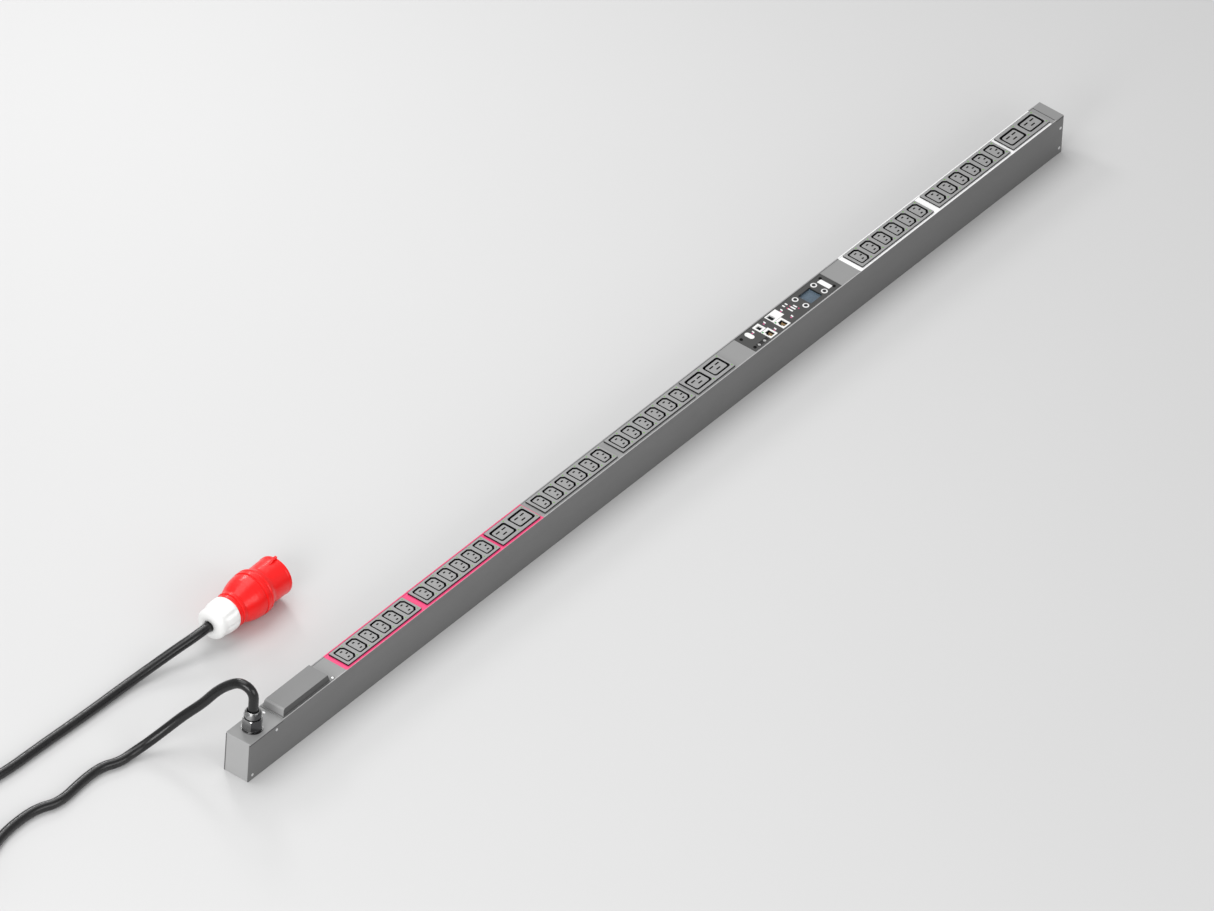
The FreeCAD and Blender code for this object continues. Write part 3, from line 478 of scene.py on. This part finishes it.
def display_screen():
    """Unlit liquid-crystal screen: blue-grey with a very faint dot grid."""
    n = Nodes("display_screen")
    checker = n.add("ShaderNodeTexChecker", Scale=2600.0)
    n.link(n.place(), checker.inputs["Vector"])
    tone = n.blend(n.noise(40.0), (0.125, 0.175, 0.225), (0.145, 0.195, 0.245))
    dots = n.range(checker.outputs["Fac"], 0.0, 0.12, 0.0, 1.0)
    n.tone(n.blend(dots, tone, (0.07, 0.10, 0.14)))
    n.set(Roughness=0.3)
    return n


LOOKS = {
    "housing_profile": housing_paint(),
    "near_end_cap": cap_paint(),
    "deck_rails": deck_paint(),
    "terminal_cover": cover_paint(),
    "end_cap_screws": metal("screw_steel", grey(0.86), 0.3),
    "controller_screws": metal("screw_black", grey(0.02), 0.4),
    "phase_label_1": moulded("film_magenta", (0.87, 0.06, 0.20), 0.42, **FILM),
    "phase_label_2": moulded("film_grey", DECK_GREY, 0.45, **FILM),
    "phase_label_3": white_film(),
    # the outlet mouldings' upright walls are painted near black: painted shade
    "c13_block_1": shaded_wall_moulding("outlet_moulding", grey(0.30), NEAR_BLACK),
    "socket_bases": moulded("insulator_black", NEAR_BLACK),
    "line_contacts": metal("contact_brass", (0.70, 0.55, 0.30), 0.3),
    "outlet_lights": lens("light_green", (0.20, 0.48, 0.09)),
    "outlet_boards": moulded("board_mask", (0.02, 0.15, 0.06), 0.35, grain=800.0, bump=0.1, spread=0.2),
    "busbars": metal("bar_copper", (0.75, 0.38, 0.22), 0.3, streak=(0.05, 1.0, 1.0)),
    "controller_plate": moulded("panel_dark", (0.055, 0.055, 0.054), grain=1800.0, bump=0.3),
    "display_window": display_glass(),
    "display_module": display_screen(),
    "menu_button_1": moulded("button_black", NEAR_BLACK, 0.42),
    "button_rings": moulded("ring_white", grey(0.82), 0.3, coat=0.2),
    "network_jacks": port_plastic("jack_white", (0.03, 0.03, 0.032), 0.5),
    "service_ports": port_plastic("port_white", (0.10, 0.11, 0.12), 2.2),
    "relay_terminal": moulded("terminal_black", grey(0.012), 0.45),
    "status_leds": lens("led_red", (0.72, 0.07, 0.22)),
    "gland_body": gland_metal(),
    "gland_seal": moulded("seal_rubber", grey(0.012), 0.6),
    "supply_cores": moulded("core_sleeve", (0.10, 0.085, 0.07), 0.4),
    "terminal_block": moulded("insulator_grey", (0.35, 0.36, 0.36)),
    "plug_cap_nut": moulded("plug_white", (0.90, 0.90, 0.89), 0.38, grain=900.0, bump=0.12, spread=0.02,
                            coat=0.1),
    "plug_body": moulded("plug_red", (0.90, 0.008, 0.008), 0.34, grain=900.0, bump=0.08, coat=0.2,
                         specular=0.3),
    "plug_insert": moulded("plug_insert", grey(0.02)),
    "plug_pins": metal("pin_nickel", (0.72, 0.70, 0.64), 0.18),
}
BLOCKS_ALIKE = ["c13_block_%d" % k for k in range(2, 7)]
for kind in ("c19_block", "socket_inserts"):
    BLOCKS_ALIKE += ["%s_%d" % (kind, k) for k in (1, 2, 3)]
SAME_AS = {
    "near_end_cap": ("far_end_cap",),
    "deck_rails": ("spacer_plates",),
    "end_cap_screws": ("panel_screws", "rear_inserts"),
    "c13_block_1": tuple(BLOCKS_ALIKE),
    "socket_bases": ("busbar_holders", "controller_tray"),
    "line_contacts": ("neutral_contacts", "earth_contacts"),
    "outlet_boards": ("controller_board",),
    "menu_button_1": ("menu_button_2", "menu_button_3", "menu_button_4"),
    "gland_body": ("gland_nuts",),
    "plug_body": ("plug_collar",),
}


def dress_nodes():
    for first, look in LOOKS.items():
        for node in (first,) + SAME_AS.get(first, ()):
            data = NODES[node].data
            data.materials.clear()
            data.materials.append(look.material)


dress_nodes()


# ---------------------------------------------------------------- bank films folded over the lips
FILM_THICKNESS = 0.06
FILM_MARGIN = 0.1               # how much narrower the film is than the lip
FILM_CORNER_R = 0.3


def lip_films():
    """The magenta and the white bank film also cover the two lips of the housing beside the deck."""
    width = HALF_WIDTH - DECK_HALF - FILM_MARGIN
    for node, slot in (("phase_label_1", "label_magenta"), ("phase_label_3", "label_white")):
        low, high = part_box(node)
        length = (high.x - low.x) / MM
        middle = (high.x + low.x) / 2 / MM
        bm = bmesh.new()
        for side in (-1, 1):
            centre = side * (HALF_WIDTH + DECK_HALF) / 2
            add_plate(bm, rounded_outline(middle, centre, length, width, FILM_CORNER_R, 3),
                      LIP_TOP, LIP_TOP + FILM_THICKNESS)
        finish_piece(mesh_object(node + "_lips", bm, NODES[node].data.materials[0]), slot)


lip_films()


# ---------------------------------------------------------------- cap nut of the plug
NUT_LENGTH = 42.0
NUT_HOLE_R = 8.2
NUT_HOLE_DEPTH = 3.0            # how far the modelled hole goes in at the rear, round the cable
NUT_HOLE_FLARE = 0.8
NUT_PROFILE = ((0.0, 14.5), (0.3, 17.0), (1.6, 20.2), (4.0, 22.8), (7.0, 24.1), (10.5, 24.3), (13.5, 24.0),
               (16.5, 24.4), (20.5, 25.7), (25.0, 26.5), (31.0, 26.8), (37.0, 26.7), (40.0, 26.3),
               (41.5, 25.4), (42.0, 24.0))      # distance from the rear and radius
NUT_FLUTES = 9
NUT_FLUTE_DEPTH = 1.8
NUT_FLUTE_FROM, NUT_FLUTE_TO = 13.0, 40.0
NUT_FLUTE_RUN_IN, NUT_FLUTE_RUN_OUT = 6.0, 2.0  # lengths over which a flute deepens and ends
NUT_FLUTE_POWER = 1.5           # above 1, the flutes are narrower than the ridges
NUT_FLUTED_R = 20.0             # only rings wider than this are fluted
NUT_STEPS = 180


def plug_line():
    """Rear point and axis of the plug: it lies along the last stretch of the cable."""
    axis = (Vector(ROUTE_BACK[-1]) - Vector(ROUTE_BACK[-2])).normalized()
    low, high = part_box("plug_cap_nut")
    rear = (low + high) / 2 / MM - axis * (NUT_LENGTH / 2)
    return rear, axis


def flute(u, angle):
    """How deep the finger grip is cut at a distance from the rear and an angle."""
    deepening = min(1.0, max(0.0, (u - NUT_FLUTE_FROM) / NUT_FLUTE_RUN_IN))
    ending = min(1.0, max(0.0, (NUT_FLUTE_TO - u) / NUT_FLUTE_RUN_OUT))
    wave = max(0.0, math.cos(NUT_FLUTES * angle))
    return NUT_FLUTE_DEPTH * deepening * ending * wave ** NUT_FLUTE_POWER


def make_cap_nut():
    rear, axis = plug_line()
    across = axis.cross(Vector((0, 0, 1))).normalized()
    upward = across.cross(axis)
    rings = [(NUT_HOLE_DEPTH, NUT_HOLE_R), (0.0, NUT_HOLE_R + NUT_HOLE_FLARE)]
    rings += list(NUT_PROFILE) + [(NUT_LENGTH, NUT_HOLE_R)]
    bm = bmesh.new()
    loops = []
    for u, radius in rings:
        loop = []
        for k in range(NUT_STEPS):
            angle = 2 * math.pi * k / NUT_STEPS
            r = radius - (flute(u, angle) if radius > NUT_FLUTED_R else 0.0)
            point = rear + axis * u + (across * math.cos(angle) + upward * math.sin(angle)) * r
            loop.append(bm.verts.new(point * MM))
        loops.append(loop)
    for a, b in zip(loops, loops[1:] + loops[:1]):
        for k in range(NUT_STEPS):
            other = (k + 1) % NUT_STEPS
            bm.faces.new((a[k], a[other], b[other], b[k]))
    nut = mesh_object("plug_cap_nut_grip", bm, NODES["plug_cap_nut"].data.materials[0], smooth=True)
    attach(nut, BODY)
    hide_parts("plug_cap_nut")
    return nut


cap_nut = make_cap_nut()


# ---------------------------------------------------------------- printed marks on the panel
# places are the distance from the near end and y
PRINT_THICKNESS = 0.05
DASHES = ((1269, 13.7, 2.6, 4.8), (1275, 13.6, 2.6, 4.8), (1269, 1.2, 2.6, 9.0), (1275, 1.1, 2.6, 9.0),
          (1280, 1.2, 2.6, 7.0))        # place and size
DASH_CORNER_R = 0.8
PATCH = (1347.7, 0.0, 9.0, 22.0)        # place and size
PATCH_CORNER_R = 1.0
ICONS = ((1194, 10.5), (1221.5, 11.5), (1221.0, -8.5), (1259.8, 10.5), (1259.6, -9.0))
ICON_OUTLINE = ((-1.4, -2.6), (1.4, -2.0), (2.0, 2.4), (-0.4, 2.0))     # from the icon's place
ICON_DOT = (-3.0, -1.2, 2.2, 3.0)       # pink spot: its middle from the icon's place, and its size
ICON_DOT_CORNER_R = 0.9


def panel_marks():
    """White dashes beside the small lights, icon-like marks beside the ports and a plain white patch."""
    white = moulded("print_white", grey(0.86)).material
    pink = moulded("print_pink", (0.62, 0.10, 0.27)).material
    printed = (PLATE_TOP, PLATE_TOP + PRINT_THICKNESS)
    bm = bmesh.new()
    for x, y, lx, ly in DASHES:
        add_plate(bm, rounded_outline(at(x), y, lx, ly, DASH_CORNER_R), *printed)
    x, y, lx, ly = PATCH
    add_plate(bm, rounded_outline(at(x), y, lx, ly, PATCH_CORNER_R), *printed)
    for x, y in ICONS:
        add_plate(bm, [(at(x) + dx, y + dy) for dx, dy in ICON_OUTLINE], *printed)
    finish_piece(mesh_object("panel_marks_white", bm, white), "ring_white")
    bm = bmesh.new()
    dx, dy, lx, ly = ICON_DOT
    for x, y in ICONS:
        add_plate(bm, rounded_outline(at(x) + dx, y + dy, lx, ly, ICON_DOT_CORNER_R), *printed)
    finish_piece(mesh_object("panel_marks_pink", bm, pink), "led_red")


panel_marks()


# ---------------------------------------------------------------- small parts in the network jacks
WIRES_PER_JACK = 8
WIRE_PITCH = 1.02
WIRE_WIDTH = 0.42
WIRE_WALL = 4.2                 # from the jack's middle, along X, to the back of the wires
WIRE_SIDE = -0.8                # from the jack's middle, along Y, to the middle of the wires
WIRE_PATH = ((0.0, -9.0), (0.0, -3.4), (-0.7, -2.6), (-4.2, -6.2))      # from WIRE_WALL and the plate's top
JACK_LIGHT = 2.6
JACK_LIGHT_CORNER_R = 0.4
JACK_LIGHT_IN = (2.2, 2.0)      # the light's middle from the jack's low X side and high Y side
JACK_LIGHT_HEIGHTS = (0.28, 0.4)        # above the plate


def jack_places():
    """Outline of each jack: the node's two solids, told apart along X."""
    data = NODES["network_jacks"].data
    corners = [v.co / MM for v in data.vertices]
    middle = (min(c.x for c in corners) + max(c.x for c in corners)) / 2
    for keep in (lambda c: c.x < middle, lambda c: c.x > middle):
        own = [c for c in corners if keep(c)]
        yield (min(c.x for c in own), max(c.x for c in own), min(c.y for c in own), max(c.y for c in own))


def add_wire(bm, path, y, width):
    """Add a strip of square section that follows (x, z) points at one y."""
    half = width / 2
    rings = []
    for k, (x, z) in enumerate(path):
        before, after = Vector(path[max(k - 1, 0)]), Vector(path[min(k + 1, len(path) - 1)])
        along = (after - before).normalized()
        across = Vector((-along.y, along.x)) * half
        ring = [(x + across.x, y - half, z + across.y), (x + across.x, y + half, z + across.y),
                (x - across.x, y + half, z - across.y), (x - across.x, y - half, z - across.y)]
        rings.append([bm.verts.new(Vector(point) * MM) for point in ring])
    for a, b in zip(rings, rings[1:]):
        for k in range(4):
            other = (k + 1) % 4
            bm.faces.new((a[k], a[other], b[other], b[k]))
    bm.faces.new(rings[0])
    bm.faces.new(list(reversed(rings[-1])))


def jack_details():
    """Eight bent gold wires and a green light in each network jack."""
    gold = metal("contact_gold", (0.86, 0.58, 0.30), 0.25).material
    green = lens("jack_green", (0.05, 0.42, 0.10)).material
    light_low, light_high = (PLATE_TOP + height for height in JACK_LIGHT_HEIGHTS)
    wires, lights = bmesh.new(), bmesh.new()
    for x0, x1, y0, y1 in jack_places():
        wall = (x0 + x1) / 2 + WIRE_WALL
        path = [(wall + dx, PLATE_TOP + dz) for dx, dz in WIRE_PATH]
        for k in range(WIRES_PER_JACK):
            from_middle = (k - (WIRES_PER_JACK - 1) / 2) * WIRE_PITCH
            add_wire(wires, path, (y0 + y1) / 2 + WIRE_SIDE + from_middle, WIRE_WIDTH)
        outline = rounded_outline(x0 + JACK_LIGHT_IN[0], y1 - JACK_LIGHT_IN[1], JACK_LIGHT, JACK_LIGHT,
                                  JACK_LIGHT_CORNER_R)
        add_plate(lights, outline, light_low, light_high)
    finish_piece(mesh_object("jack_contacts", wires, gold), "contact_brass")
    finish_piece(mesh_object("jack_lights", lights, green), "light_green")


jack_details()


# ---------------------------------------------------------------- floor and light
FLOOR_REACH = 9000.0            # half the floor's side
FLOOR_THICKNESS = 20.0
FLOOR_GREY = grey(0.64)
WORLD_STRENGTH = 0.5
LIGHTS = (      # name, place, aim, width and height in metres, power in watts
    ("overhead", (-0.2, 1.1, 3.0), (-0.1, 0.0, 0.0), 3.6, 2.0, 52.0),
    ("right_side", (-0.8, -3.6, 1.9), (-0.4, 0.0, 0.03), 3.0, 2.0, 44.0),
    ("near_side", (-3.6, -0.6, 1.6), (-0.93, 0.0, 0.04), 1.6, 1.6, 50.0),
    ("streak", (0.5, 1.7, 1.35), (-0.7, 0.1, 0.05), 0.5, 0.5, 9.0),
)


def make_floor():
    outline = [(sx * FLOOR_REACH, sy * FLOOR_REACH) for sx, sy in ((-1, -1), (1, -1), (1, 1), (-1, 1))]
    bm = bmesh.new()
    add_plate(bm, outline, -FLOOR_THICKNESS, 0.0)
    n = Nodes("floor_pale")
    n.tone(n.shades(FLOOR_GREY, scale=1.5, spread=0.012))
    n.set(Roughness=0.6)
    mesh_object("floor", bm, n.material)


def area_light(name, place, aim, width, height, power):
    data = bpy.data.lights.new(name, "AREA")
    data.shape = "RECTANGLE"
    data.size, data.size_y = width, height
    data.energy = power
    light = bpy.data.objects.new(name, data)
    bpy.context.scene.collection.objects.link(light)
    light.location = place
    light.rotation_euler = (Vector(aim) - Vector(place)).to_track_quat("-Z", "Y").to_euler()


def make_light():
    world = bpy.data.worlds.new("studio")
    world.use_nodes = True
    background = world.node_tree.nodes["Background"]
    background.inputs["Color"].default_value = (1.0, 1.0, 1.0, 1.0)
    background.inputs["Strength"].default_value = WORLD_STRENGTH
    bpy.context.scene.world = world
    for light in LIGHTS:
        area_light(*light)


make_floor()
make_light()
bpy.context.scene.view_settings.view_transform = "Standard"
